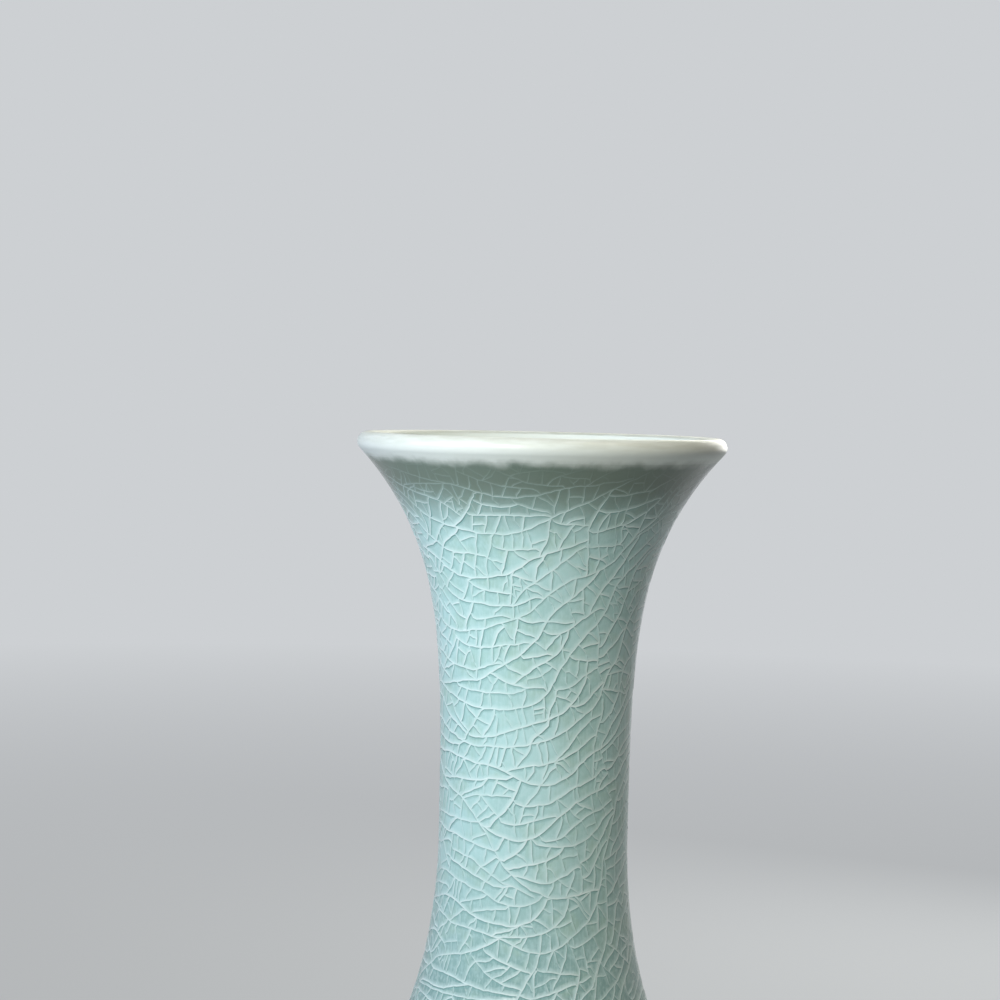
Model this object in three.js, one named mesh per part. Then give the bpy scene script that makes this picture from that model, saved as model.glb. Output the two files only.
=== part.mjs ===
// A crackle-glazed celadon bottle vase: a pear-shaped body under a long neck that opens into a
// trumpet mouth with a rolled lip. Units are millimetres, +Z is up, and the origin is the centre of
// the foot ring's resting face.
//
// The vase is built as a potter builds it. Three stoneware sections are thrown on the wheel: a bowl
// with its turned foot ring, a shoulder that closes in to the lower neck, and the trumpet neck. They
// are luted to each other with rings of clay slip. Celadon glaze then coats the outside, the lip, the
// inside and the sunken base, and only the foot ring is left bare.
import * as THREE from "three";

// Heights above the table.
const VASE_HEIGHT = 310;
const WAIST_HEIGHT = 207; // the narrowest point of the neck, where the trumpet section is luted on
const BELLY_HEIGHT = 78; // the widest point of the body, where bowl and shoulder are luted
const FOOT_HEIGHT = 7; // the turned foot ring, up to the edge of the glaze

// Radii of the glazed outside.
const WAIST_RADIUS = 24.5;
const BELLY_RADIUS = 80.5;
const LIP_RADIUS = 47.6; // out to the widest point of the rolled lip

// The foot ring.
const FOOT_RADIUS = 43;
const FOOT_RING_WIDTH = 7;
const FOOT_TAPER = 1.2; // how far the ring draws in, from the glaze edge down to the table
const FOOT_CHAMFER = 1;
const RECESS_DEPTH = 4.5; // the sunken base inside the ring

// The rolled lip is an arc round a centre inside the mouth's edge.
const LIP_ROLL = 2.5;
const LIP_UNDERSIDE_ANGLE = -0.74; // radians: where the outside of the trumpet runs into the roll
const LIP_INSIDE_ANGLE = 2.34; // radians: where the roll runs into the inside of the mouth

// How strongly each curve keeps its direction before it bends: the handles of its Bezier curve.
const TRUMPET_FLARE = 33;
const TRUMPET_NECK = 50;
const SHOULDER_NECK = 85.3;
const SHOULDER_BELLY = 40;
const BOWL_BELLY = 38;
const BOWL_FOOT = 26;
const BOWL_FOOT_ANGLE = 0.5; // radians above level, where the bowl leaves the foot ring

// Walls of the fired clay.
const WALL_LIP = 3;
const WALL_WAIST = 5;
const WALL_BELLY = 5.5;
const WALL_BOWL = 7; // low in the bowl, by the foot
const FLOOR = 8;
const FLOOR_MARGIN = 1; // the inside of the wall starts at least this far above the floor
const FLOOR_CORNER = 8; // how far in from the wall the floor starts to rise

// Coats of glaze, and the slip in each luted joint.
const COAT_OUTSIDE = 1;
const COAT_LIP = 0.5;
const COAT_INSIDE = 0.8;
const COAT_BASE = 0.7;
const BASE_COAT_MARGIN = 2; // the glaze on the base stops this far short of the foot ring
const SLIP_JOINT = 1;

// How finely the shapes are divided.
const FACET_COUNT = 36;
const LIP_STEP_COUNT = 8;
const TRUMPET_STEP_COUNT = 9;
const SHOULDER_STEP_COUNT = 9;
const BOWL_STEP_COUNT = 6;

const at = (radius, height) => new THREE.Vector2(radius, height);

// The lip's centre, and a point on its roll at an angle.
const lipCentre = at(LIP_RADIUS - LIP_ROLL, VASE_HEIGHT - LIP_ROLL);
const onLip = (angle) =>
  at(lipCentre.x + LIP_ROLL * Math.cos(angle), lipCentre.y + LIP_ROLL * Math.sin(angle));

// Points along a curve, each with the direction that leads out of the clay and its share of the way.
function stations(curve, steps) {
  return Array.from({ length: steps + 1 }, (_, i) => {
    const share = i / steps;
    const tangent = curve.getTangent(share);
    return { share, point: curve.getPoint(share), out: at(tangent.y, -tangent.x) };
  });
}

// The same stations moved into the wall, by a depth that changes evenly from one end to the other.
function sunk(line, depthStart, depthEnd = depthStart) {
  return line.map(({ share, point, out }) =>
    point.clone().addScaledVector(out, -THREE.MathUtils.lerp(depthStart, depthEnd, share)),
  );
}

// The glazed outside, from the foot up, in three curves and the roll of the lip.
const bowlFoot = at(FOOT_RADIUS, FOOT_HEIGHT);
const bowlTop = at(BELLY_RADIUS, BELLY_HEIGHT - SLIP_JOINT / 2);
const shoulderFoot = at(BELLY_RADIUS, BELLY_HEIGHT + SLIP_JOINT / 2);
const shoulderTop = at(WAIST_RADIUS, WAIST_HEIGHT - SLIP_JOINT / 2);
const trumpetFoot = at(WAIST_RADIUS, WAIST_HEIGHT + SLIP_JOINT / 2);
const trumpetTop = onLip(LIP_UNDERSIDE_ANGLE);
const alongLip = at(-Math.sin(LIP_UNDERSIDE_ANGLE), Math.cos(LIP_UNDERSIDE_ANGLE));

const bowl = stations(
  new THREE.CubicBezierCurve(
    bowlFoot,
    at(
      FOOT_RADIUS + BOWL_FOOT * Math.cos(BOWL_FOOT_ANGLE),
      FOOT_HEIGHT + BOWL_FOOT * Math.sin(BOWL_FOOT_ANGLE),
    ),
    at(BELLY_RADIUS, bowlTop.y - BOWL_BELLY),
    bowlTop,
  ),
  BOWL_STEP_COUNT,
);
const shoulder = stations(
  new THREE.CubicBezierCurve(
    shoulderFoot,
    at(BELLY_RADIUS, shoulderFoot.y + SHOULDER_BELLY),
    at(WAIST_RADIUS, shoulderTop.y - SHOULDER_NECK),
    shoulderTop,
  ),
  SHOULDER_STEP_COUNT,
);
const trumpet = stations(
  new THREE.CubicBezierCurve(
    trumpetFoot,
    at(WAIST_RADIUS, trumpetFoot.y + TRUMPET_NECK),
    trumpetTop.clone().addScaledVector(alongLip, -TRUMPET_FLARE),
    trumpetTop,
  ),
  TRUMPET_STEP_COUNT,
);
const lip = stations(
  new THREE.EllipseCurve(
    lipCentre.x,
    lipCentre.y,
    LIP_ROLL,
    LIP_ROLL,
    LIP_UNDERSIDE_ANGLE,
    LIP_INSIDE_ANGLE,
  ),
  LIP_STEP_COUNT,
);

const pointsOf = (line) => line.map(({ point }) => point);
const last = (points) => points[points.length - 1];

// The clay's outside, under the glaze.
const clayBowl = sunk(bowl, COAT_OUTSIDE);
const clayShoulder = sunk(shoulder, COAT_OUTSIDE);
const clayTrumpet = sunk(trumpet, COAT_OUTSIDE, COAT_LIP);
const clayLip = sunk(lip, COAT_LIP);

// The clay's inside. Low in the bowl it ends on the floor, and at the top it ends on the lip's roll.
const insideBowl = sunk(bowl, COAT_OUTSIDE + WALL_BOWL, COAT_OUTSIDE + WALL_BELLY);
const insideShoulder = sunk(shoulder, COAT_OUTSIDE + WALL_BELLY, COAT_OUTSIDE + WALL_WAIST);
const insideTrumpet = sunk(trumpet, COAT_OUTSIDE + WALL_WAIST, COAT_LIP + WALL_LIP).slice(0, -1);
const floorHeight = RECESS_DEPTH + FLOOR;
const insideBowlAboveFloor = insideBowl.filter((p) => p.y > floorHeight + FLOOR_MARGIN);

// The glaze's inside surface, which follows the clay's.
const coatDepth = (wall) => COAT_OUTSIDE + wall + COAT_INSIDE;
const coatBowl = sunk(bowl, coatDepth(WALL_BOWL), coatDepth(WALL_BELLY)).slice(
  insideBowl.length - insideBowlAboveFloor.length,
);
const coatShoulder = sunk(shoulder, coatDepth(WALL_BELLY), coatDepth(WALL_WAIST));
const coatTrumpet = sunk(
  trumpet,
  coatDepth(WALL_WAIST),
  COAT_LIP + WALL_LIP + COAT_LIP,
).slice(0, -1);

// A solid turned about +Z from a profile of radius and height. A profile that doesn't start and end
// on the axis is closed on itself, and it is reversed where its faces would point inwards.
function turned(profile) {
  const onAxis = profile[0].x === 0 && last(profile).x === 0;
  const loop = onAxis ? profile : [...profile, profile[0]];
  const facesOut = THREE.ShapeUtils.area(profile) > 0;
  const geometry = new THREE.LatheGeometry(facesOut ? loop : [...loop].reverse(), FACET_COUNT);
  return geometry.rotateX(Math.PI / 2);
}

const stoneware = new THREE.MeshStandardMaterial({ color: 0xb9a68c, roughness: 0.85, metalness: 0 });
const slipClay = new THREE.MeshStandardMaterial({ color: 0xc4b49b, roughness: 0.9, metalness: 0 });
const celadon = new THREE.MeshStandardMaterial({ color: 0xa9cdc2, roughness: 0.12, metalness: 0 });
const paleCeladon = new THREE.MeshStandardMaterial({ color: 0xe3ece0, roughness: 0.15, metalness: 0 });

const vase = new THREE.Group();

function addPiece(name, profile, material) {
  const mesh = new THREE.Mesh(turned(profile), material);
  mesh.name = name;
  vase.add(mesh);
}

// The bowl with its turned foot ring and sunken base.
const footBottom = FOOT_RADIUS - FOOT_TAPER;
const footInside = FOOT_RADIUS - FOOT_RING_WIDTH;
const footRing = [
  at(0, RECESS_DEPTH),
  at(footInside - FOOT_CHAMFER, RECESS_DEPTH),
  at(footInside, FOOT_CHAMFER),
  at(footInside + FOOT_CHAMFER, 0),
  at(footBottom - FOOT_CHAMFER, 0),
  at(footBottom, FOOT_CHAMFER),
  at(clayBowl[0].x, clayBowl[0].y),
];
addPiece(
  "thrown_bowl",
  [
    ...footRing,
    ...clayBowl.slice(1),
    ...[...insideBowlAboveFloor].reverse(),
    at(insideBowlAboveFloor[0].x - FLOOR_CORNER, floorHeight),
    at(0, floorHeight),
  ],
  stoneware,
);

// The shoulder, from the belly up to the waist of the neck.
addPiece("thrown_shoulder", [...clayShoulder, ...[...insideShoulder].reverse()], stoneware);

// The trumpet neck, with the lip's roll at its top.
addPiece(
  "thrown_neck",
  [...clayTrumpet, ...clayLip.slice(1), ...[...insideTrumpet].reverse()],
  stoneware,
);

// A luted joint: the ring of slip between two sections.
function slipRing(name, lowerOutside, lowerInside, upperOutside, upperInside) {
  addPiece(name, [lowerOutside, upperOutside, upperInside, lowerInside], slipClay);
}
slipRing("belly_slip_joint", last(clayBowl), last(insideBowl), clayShoulder[0], insideShoulder[0]);
slipRing("neck_slip_joint", last(clayShoulder), last(insideShoulder), clayTrumpet[0], insideTrumpet[0]);

// The glaze outside, from the foot ring up to the lip.
addPiece(
  "outer_glaze",
  [
    ...pointsOf(bowl),
    ...pointsOf(shoulder),
    ...pointsOf(trumpet),
    ...[...clayBowl, ...clayShoulder, ...clayTrumpet].reverse(),
  ],
  celadon,
);

// The thin pale glaze over the roll of the lip.
addPiece("lip_glaze", [...pointsOf(lip), ...[...clayLip].reverse()], paleCeladon);

// The glaze inside, from the lip down to the floor.
addPiece(
  "inner_glaze",
  [
    at(0, floorHeight),
    at(insideBowlAboveFloor[0].x - FLOOR_CORNER, floorHeight),
    ...insideBowlAboveFloor,
    ...insideShoulder,
    ...insideTrumpet,
    last(clayLip),
    last(pointsOf(lip)),
    ...[...coatBowl, ...coatShoulder, ...coatTrumpet].reverse(),
    at(coatBowl[0].x - FLOOR_CORNER, floorHeight + COAT_INSIDE),
    at(0, floorHeight + COAT_INSIDE),
  ],
  celadon,
);

// The glaze on the sunken base, which stops short of the foot ring.
addPiece(
  "base_glaze",
  [
    at(0, RECESS_DEPTH - COAT_BASE),
    at(footInside - BASE_COAT_MARGIN - COAT_BASE, RECESS_DEPTH - COAT_BASE),
    at(footInside - BASE_COAT_MARGIN, RECESS_DEPTH),
    at(0, RECESS_DEPTH),
  ],
  celadon,
);

export default vase;
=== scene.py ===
# %% [markdown]
# A celadon bottle vase is thrown in three sections of stoneware, luted together, bisque fired, coated
# with a blue-green glaze and fired again. As it cools the glaze shrinks more than the clay, and a net
# of fine cracks opens in it. This notebook dresses the vase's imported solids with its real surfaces:
# smooth turned skins, the crackle, the pale rolled lip and the bare clay foot.

import math
import random

import bmesh
import bpy
from mathutils import Matrix, Vector, noise
from mathutils.geometry import interpolate_bezier


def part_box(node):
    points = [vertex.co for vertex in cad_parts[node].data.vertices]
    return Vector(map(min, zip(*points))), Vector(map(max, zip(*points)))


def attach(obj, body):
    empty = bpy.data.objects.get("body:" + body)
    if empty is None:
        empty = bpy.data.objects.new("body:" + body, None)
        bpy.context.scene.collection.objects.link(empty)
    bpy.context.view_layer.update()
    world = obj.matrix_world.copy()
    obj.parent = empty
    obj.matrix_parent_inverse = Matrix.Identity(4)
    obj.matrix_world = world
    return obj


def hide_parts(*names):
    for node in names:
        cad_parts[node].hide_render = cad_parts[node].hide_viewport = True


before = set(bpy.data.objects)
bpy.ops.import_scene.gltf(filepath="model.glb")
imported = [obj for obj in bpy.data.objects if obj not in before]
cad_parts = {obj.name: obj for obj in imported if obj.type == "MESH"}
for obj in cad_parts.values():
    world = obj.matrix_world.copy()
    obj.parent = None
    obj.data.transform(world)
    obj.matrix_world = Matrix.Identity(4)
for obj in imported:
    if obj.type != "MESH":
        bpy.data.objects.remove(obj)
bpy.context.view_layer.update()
MM = 0.001
print("solids:", sorted(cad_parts))

# %% [markdown]
# Every turned surface of the vase follows one outline: the bowl, the shoulder, the trumpet neck and
# the roll of the lip. The outline could be read off the solids, but they have flat facets, so it is
# drawn again as the same curves, with many more points. Where a solid's box shows a size, it is taken
# from there, and the others are written down as real sizes.

# %% The main sizes
FOOT_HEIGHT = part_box("outer_glaze")[0].z
BELLY_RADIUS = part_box("outer_glaze")[1].x
LIP_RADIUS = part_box("lip_glaze")[1].x
BELLY_HEIGHT = (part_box("belly_slip_joint")[0].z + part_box("belly_slip_joint")[1].z) / 2
WAIST_HEIGHT = (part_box("neck_slip_joint")[0].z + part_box("neck_slip_joint")[1].z) / 2
VASE_HEIGHT = 310 * MM
WAIST_RADIUS = 24.5 * MM
FOOT_RADIUS = 43 * MM
HALF_JOINT = 0.5 * MM
print("belly at", round(BELLY_HEIGHT / MM), "mm, waist at", round(WAIST_HEIGHT / MM), "mm")

# %% [markdown]
# Two kinds of line make the outline. A Bezier curve leaves its start towards one handle and comes to
# its end from the other, so curves that share a direction join without a kink. The lip is rolled
# between wet fingers, which leaves it round, so it is an arc. A point is written as (radius, 0,
# height), ready to be spun round the Z axis.

# %% A curve, and the roll of the lip
LIP_ROLL = 2.5 * MM
LIP_UNDERSIDE_ANGLE = -0.74
LIP_INSIDE_ANGLE = 2.34
STEPS_CURVE = 56
STEPS_LIP = 22


def bezier(start, handle_a, handle_b, end):
    """Points (radius, 0, height) along a Bezier curve, both ends included."""
    corners = [Vector((radius, height, 0)) for radius, height in (start, handle_a, handle_b, end)]
    return [Vector((p.x, 0, p.y)) for p in interpolate_bezier(*corners, STEPS_CURVE)]


def on_lip(angle):
    """The point on the roll of the lip at an angle from its outermost point."""
    centre = Vector((LIP_RADIUS - LIP_ROLL, 0, VASE_HEIGHT - LIP_ROLL))
    return centre + LIP_ROLL * Vector((math.cos(angle), 0, math.sin(angle)))


print("the roll starts at", round(on_lip(LIP_UNDERSIDE_ANGLE).z / MM, 1), "mm")

# %% [markdown]
# A handle's length says how far a curve keeps its direction before it bends. The bowl leaves the foot
# at a low angle and stands upright at the belly, the shoulder draws in from there to the waist, and
# the trumpet opens until it runs into the underside of the roll.

# %% The outline of the glazed outside
BOWL_FOOT = 26 * MM
BOWL_FOOT_ANGLE = 0.5
BOWL_BELLY = 38 * MM
SHOULDER_BELLY = 40 * MM
SHOULDER_WAIST = 85.3 * MM
TRUMPET_WAIST = 50 * MM
TRUMPET_FLARE = 33 * MM

bowl_top = BELLY_HEIGHT - HALF_JOINT
shoulder_foot = BELLY_HEIGHT + HALF_JOINT
shoulder_top = WAIST_HEIGHT - HALF_JOINT
trumpet_foot = WAIST_HEIGHT + HALF_JOINT
trumpet_top = on_lip(LIP_UNDERSIDE_ANGLE)
bowl = bezier(
    (FOOT_RADIUS, FOOT_HEIGHT),
    (
        FOOT_RADIUS + BOWL_FOOT * math.cos(BOWL_FOOT_ANGLE),
        FOOT_HEIGHT + BOWL_FOOT * math.sin(BOWL_FOOT_ANGLE),
    ),
    (BELLY_RADIUS, bowl_top - BOWL_BELLY),
    (BELLY_RADIUS, bowl_top),
)
shoulder = bezier(
    (BELLY_RADIUS, shoulder_foot),
    (BELLY_RADIUS, shoulder_foot + SHOULDER_BELLY),
    (WAIST_RADIUS, shoulder_top - SHOULDER_WAIST),
    (WAIST_RADIUS, shoulder_top),
)
trumpet = bezier(
    (WAIST_RADIUS, trumpet_foot),
    (WAIST_RADIUS, trumpet_foot + TRUMPET_WAIST),
    (
        trumpet_top.x + TRUMPET_FLARE * math.sin(LIP_UNDERSIDE_ANGLE),
        trumpet_top.z - TRUMPET_FLARE * math.cos(LIP_UNDERSIDE_ANGLE),
    ),
    (trumpet_top.x, trumpet_top.z),
)
lip = [
    on_lip(LIP_UNDERSIDE_ANGLE + (LIP_INSIDE_ANGLE - LIP_UNDERSIDE_ANGLE) * step / STEPS_LIP)
    for step in range(STEPS_LIP + 1)
]
outside = bowl + shoulder + trumpet
print("outline points:", len(outside) + len(lip))

# %% [markdown]
# The clay and the inside surfaces lie at a depth under that outline. Each point moves along the
# direction that leads out of the wall, which is the outline's own direction turned by a right angle.

# %% Surfaces under the outline
COAT = 1 * MM
COAT_LIP = 0.5 * MM
COAT_INSIDE = 0.8 * MM
WALLS = {"bowl": (7 * MM, 5.5 * MM), "shoulder": (5.5 * MM, 5 * MM), "trumpet": (5 * MM, 3 * MM)}


def outward(points, index):
    """The direction that leads out of the wall at one point of an outline that runs upwards."""
    before = points[max(index - 1, 0)]
    after = points[min(index + 1, len(points) - 1)]
    along = (after - before).normalized()
    return Vector((along.z, 0, -along.x))


def sunk(points, depth_start, depth_end):
    """The outline moved into the wall, by a depth that changes evenly along it."""
    count = len(points) - 1
    return [
        p - outward(points, i) * (depth_start + (depth_end - depth_start) * i / count)
        for i, p in enumerate(points)
    ]


clay_bowl = sunk(bowl, COAT, COAT)
clay_shoulder = sunk(shoulder, COAT, COAT)
clay_trumpet = sunk(trumpet, COAT, COAT_LIP)
clay_lip = sunk(lip, COAT_LIP, COAT_LIP)
clay_outside = clay_bowl + clay_shoulder + clay_trumpet
print("widest clay:", round(max(p.x for p in clay_outside) / MM, 1), "mm from the axis")

# %% [markdown]
# A potter turns a pot round its axis, and Blender's spin operator does the same with an outline. The
# outline is a chain of edges in one vertical plane. Spin slows down as its steps grow, so it makes one
# narrow wedge, and a second spin copies the wedge round. Merging doubles then closes the seams.

# %% A turned skin
SECTORS = 12
SECTOR_STEPS = 16
WEDGE_GAP = 0.001 * MM
SHARP_ANGLE = math.radians(40)


def finished(bm, name):
    """A new object made from a bmesh, in the scene."""
    mesh = bpy.data.meshes.new(name)
    bm.to_mesh(mesh)
    bm.free()
    piece = bpy.data.objects.new(name, mesh)
    bpy.context.scene.collection.objects.link(piece)
    print(name, len(mesh.polygons), "faces")
    return piece


def turned(name, profile, closed=True):
    """A new object: the profile, a list of (radius, 0, height), spun once round the Z axis."""
    bm = bmesh.new()
    verts = [bm.verts.new(p) for p in profile]
    pairs = list(zip(verts, verts[1:]))
    if closed:
        pairs.append((verts[-1], verts[0]))
    for a, b in pairs:
        bm.edges.new((a, b))
    sector = 2 * math.pi / SECTORS
    axis = {"cent": (0, 0, 0), "axis": (0, 0, 1)}
    chain = bm.verts[:] + bm.edges[:]
    bmesh.ops.spin(bm, geom=chain, angle=sector, steps=SECTOR_STEPS, **axis)
    wedge = bm.verts[:] + bm.edges[:] + bm.faces[:]
    rest = 2 * math.pi - sector
    bmesh.ops.spin(bm, geom=wedge, angle=rest, steps=SECTORS - 1, use_duplicate=True, **axis)
    bmesh.ops.remove_doubles(bm, verts=bm.verts[:], dist=WEDGE_GAP)
    bmesh.ops.recalc_face_normals(bm, faces=bm.faces[:])
    for face in bm.faces:
        face.smooth = True
    piece = finished(bm, name)
    piece.data.set_sharp_from_angle(angle=SHARP_ANGLE)
    return piece


# %% [markdown]
# The outer glaze is a coat one millimetre thick. It ends above the foot in a rounded, slightly
# swollen edge, where it ran down in the kiln and stopped. Over the lip the coat is half as thick.

# %% The glaze outside and over the lip
POOL_HEIGHT = 2.2 * MM
POOL_EXTRA = 0.15 * MM


def pooled(points, clay):
    """The outline of the coat, with its lower edge rounded and a little swollen."""
    result = []
    for p, under in zip(points, clay):
        share = min((p.z - points[0].z) / POOL_HEIGHT, 1)
        thickness = math.sqrt(1 - (1 - share) ** 2)
        swell = POOL_EXTRA / COAT * math.sin(math.pi * share)
        result.append(under + (p - under) * (thickness + swell))
    return result


glaze_outside = pooled(bowl, clay_bowl) + shoulder + trumpet
outer_glaze = turned("glaze_outside", glaze_outside + clay_outside[:0:-1])
lip_glaze = turned("glaze_lip", lip + clay_lip[::-1])

# %% [markdown]
# Inside, the wall runs down to a flat floor, and fingers leave a soft corner where the two meet. The
# inside follows the same outline at a greater depth, and one small curve rounds its corner.

# %% The glaze inside
FLOOR_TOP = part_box("inner_glaze")[0].z
CORNER_RISE = 6 * MM
CORNER_WIDTH = 14 * MM
CORNER_FLOOR_HANDLE = 5 * MM
CORNER_WALL_HANDLE = (2 * MM, 2.5 * MM)
CORNER_SKIP = 4


def inside(depth):
    """The inside of the pot, from the floor to the lip, at a depth under the clay's inner face."""
    lines = []
    for line, wall in ((bowl, "bowl"), (shoulder, "shoulder"), (trumpet, "trumpet")):
        start, end = WALLS[wall]
        coat_end = COAT_LIP if wall == "trumpet" else COAT
        top_depth = min(depth, COAT_LIP) if wall == "trumpet" else depth
        lines += sunk(line, COAT + start + depth, coat_end + end + top_depth)
    floor = FLOOR_TOP + depth
    above = [p for p in lines if p.z > floor + CORNER_RISE]
    wall_foot = above[0]
    corner = bezier(
        (wall_foot.x - CORNER_WIDTH, floor),
        (wall_foot.x - CORNER_FLOOR_HANDLE, floor),
        (wall_foot.x - CORNER_WALL_HANDLE[0], wall_foot.z - CORNER_WALL_HANDLE[1]),
        (wall_foot.x, wall_foot.z),
    )
    return [Vector((0, 0, floor))] + corner[:-1:CORNER_SKIP] + above[:-1]


inner_profile = inside(COAT_INSIDE) + [lip[-1]]
under_profile = inside(0) + [clay_lip[-1]]
inner_glaze = turned("glaze_inside", inner_profile + under_profile[::-1], closed=False)

# %% [markdown]
# The foot ring is bare clay. It was trimmed with a tool when the bowl was leather hard, so it has a
# crisp slope and small chamfers. The clay of the neck is turned as well, because the coat is so thin
# near the lip that the flat facets of the solid would show through it.

# %% The clay bowl with its foot ring, and the clay neck
RECESS_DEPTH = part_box("base_glaze")[1].z
FOOT_INSIDE = 36 * MM
FOOT_BOTTOM = 41.8 * MM
CHAMFER = 1 * MM
bowl_inside = [p for p in inside(0) if p.z < BELLY_HEIGHT - HALF_JOINT]
foot_profile = [
    Vector((0, 0, RECESS_DEPTH)),
    Vector((FOOT_INSIDE - CHAMFER, 0, RECESS_DEPTH)),
    Vector((FOOT_INSIDE, 0, CHAMFER)),
    Vector((FOOT_INSIDE + CHAMFER, 0, 0)),
    Vector((FOOT_BOTTOM - CHAMFER, 0, 0)),
    Vector((FOOT_BOTTOM, 0, CHAMFER)),
]
clay_foot = turned("clay_bowl", foot_profile + clay_bowl + bowl_inside[::-1], closed=False)
neck_inside = [p for p in inside(0) if p.z > WAIST_HEIGHT + HALF_JOINT]
clay_neck = turned("clay_neck", clay_trumpet + clay_lip[1:] + neck_inside[::-1])

# %% [markdown]
# The base inside the foot ring is sunk, so that the vase stands on the ring alone, and it is glazed.
# The coat is wiped back from the ring before firing, or it would stick to the kiln shelf. It ends
# there in a bevelled edge.

# %% The glazed base
BASE_EDGE = FOOT_INSIDE - 2 * CHAMFER
BASE_COAT = RECESS_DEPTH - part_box("base_glaze")[0].z
base_profile = [
    Vector((0, 0, RECESS_DEPTH - BASE_COAT)),
    Vector((BASE_EDGE - 2 * BASE_COAT, 0, RECESS_DEPTH - BASE_COAT)),
    Vector((BASE_EDGE - BASE_COAT / 2, 0, RECESS_DEPTH - BASE_COAT / 2)),
    Vector((BASE_EDGE, 0, RECESS_DEPTH)),
    Vector((0, 0, RECESS_DEPTH)),
]
base_glaze = turned("glaze_base", base_profile, closed=False)

# %% [markdown]
# The crackle. Cracks open one after another: the first run far round the pot, and each later one
# splits a tile of glaze that is still under tension, and stops at the older cracks that it meets. A
# Voronoi texture also looks cracked, but its tiles are all alike and no line in it runs past a corner.
# So the net is grown in the real order, by cutting tiles in two on the unrolled surface.

# %% A surface of the pot, unrolled
RADIUS_STEP = 0.5 * MM
SAME_PLACE = 1e-6
MOUTH_CRACKLE_FOOT = 246 * MM


class Unrolled:
    """A turned surface laid flat. A spot on it is (angle round the axis, distance up its outline)."""

    def __init__(self, points, facing=1):
        self.line = [
            p for i, p in enumerate(points) if i == 0 or (p - points[i - 1]).length > SAME_PLACE
        ]
        self.facing = facing
        self.reach = [0.0]
        for before, after in zip(self.line, self.line[1:]):
            self.reach.append(self.reach[-1] + (after - before).length)
        self.length = self.reach[-1]
        count = int(self.length / RADIUS_STEP) + 1
        self.radii = [self.station(i * RADIUS_STEP)[0].x for i in range(count)]

    def station(self, along):
        """The point at a distance along the outline, and the direction away from the axis there."""
        low, high = 0, len(self.reach) - 1
        while high - low > 1:
            middle = (low + high) // 2
            if self.reach[middle] <= along:
                low = middle
            else:
                high = middle
        share = (along - self.reach[low]) / (self.reach[high] - self.reach[low])
        out = outward(self.line, low).lerp(outward(self.line, high), share)
        return self.line[low].lerp(self.line[high], share), out.normalized()

    def radius(self, along):
        """The radius of the pot at a distance along the outline."""
        return self.radii[min(max(int(along / RADIUS_STEP), 0), len(self.radii) - 1)]

    def place(self, spot, height):
        """The place in space at a height over a spot of the surface."""
        point, out = self.station(min(max(spot.y, 0.0), self.length))
        lifted = point + out * height * self.facing
        return Vector((lifted.x * math.cos(spot.x), lifted.x * math.sin(spot.x), lifted.z))


outer_skin = Unrolled(outside)
mouth_skin = Unrolled([p for p in inner_profile if p.z > MOUTH_CRACKLE_FOOT][:-1], facing=-1)
print("outline length:", round(outer_skin.length / MM), "mm")

# %% [markdown]
# A tile is a list of spots round its border. A spot's first number is an angle, which covers more clay
# on the belly than on the neck, so each step is scaled by the radius before it is measured. The places
# where a straight line crosses the border tell where a crack can start and stop.

# %% Measure a tile of glaze
CRACK_STEP = 1.2 * MM


def real(step, radius):
    """A step on the unrolled surface, (angle, length), as a real distance in two directions."""
    return Vector((step.x * radius, step.y))


def measure(tile, radius_at):
    """A tile's centre, the radius there and its area."""
    centre = sum(tile, Vector((0, 0))) / len(tile)
    radius = radius_at(centre.y)
    corners = [real(p - centre, radius) for p in tile]
    area = abs(sum(a.x * b.y - b.x * a.y for a, b in zip(corners, corners[1:] + corners[:1]))) / 2
    return centre, radius, area


def crossings(tile, through, way, radius):
    """Where a straight line meets a tile's border: (distance along the line, place), in order."""
    normal_x, normal_y = -way.y * radius, way.x
    start = through.x * normal_x + through.y * normal_y
    sides = [p.x * normal_x + p.y * normal_y < start for p in tile]
    return sorted(
        (real(tile[i] - through, radius).dot(way), i)
        for i, side in enumerate(sides) if side != sides[i - 1]
    )


print("a crack goes on by", CRACK_STEP / MM, "mm at a time")

# %% [markdown]
# Long cracks follow the pull in the glaze. On a pot seen from one side they sag: down from the left,
# level in the middle and up to the right. A slope that changes smoothly over the surface gives every
# crack this course, and a little noise bends it as no two cracks run alike.

# %% How a long crack runs
MEAN_SLOPE, SAG_SLOPE = 13, 33
SWAY_SLOPE, SWAY_SIZE = 38, 45 * MM
BEND_SLOPE, BEND_SIZE, BENDS_ROUND = 40, 9 * MM, 2.4
TURN_DISTANCE = 4 * MM
MOST_STEPS = 1000


def flow(spot, own=0.0):
    """The slope of a long crack at a place. Each crack has a number of its own, for its own bends."""
    place = Vector((math.cos(spot.x), math.sin(spot.x), spot.y / SWAY_SIZE))
    sway = noise.noise(place)
    own_place = Vector((place.x * BENDS_ROUND, place.y * BENDS_ROUND, spot.y / BEND_SIZE + own))
    bend = noise.noise(own_place)
    sag = math.sin(2 * spot.x)
    return math.radians(MEAN_SLOPE - SAG_SLOPE * sag + SWAY_SLOPE * sway + BEND_SLOPE * bend)


def square_to_border(tile, place, inwards, radius):
    """The direction at a right angle to a tile's border at a place, on the side given."""
    border = real(tile[(place + 1) % len(tile)] - tile[place - 1], radius)
    way = Vector((-border.y, border.x)).normalized()
    return way if way.dot(real(inwards, radius)) > 0 else -way


def first_hit(tile, here, way, radius):
    """The distance and the place at which a straight way from inside a tile meets its border."""
    ahead = [hit for hit in crossings(tile, here, way, radius) if hit[0] >= 0]
    return ahead[0] if ahead else (0, None)


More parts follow.
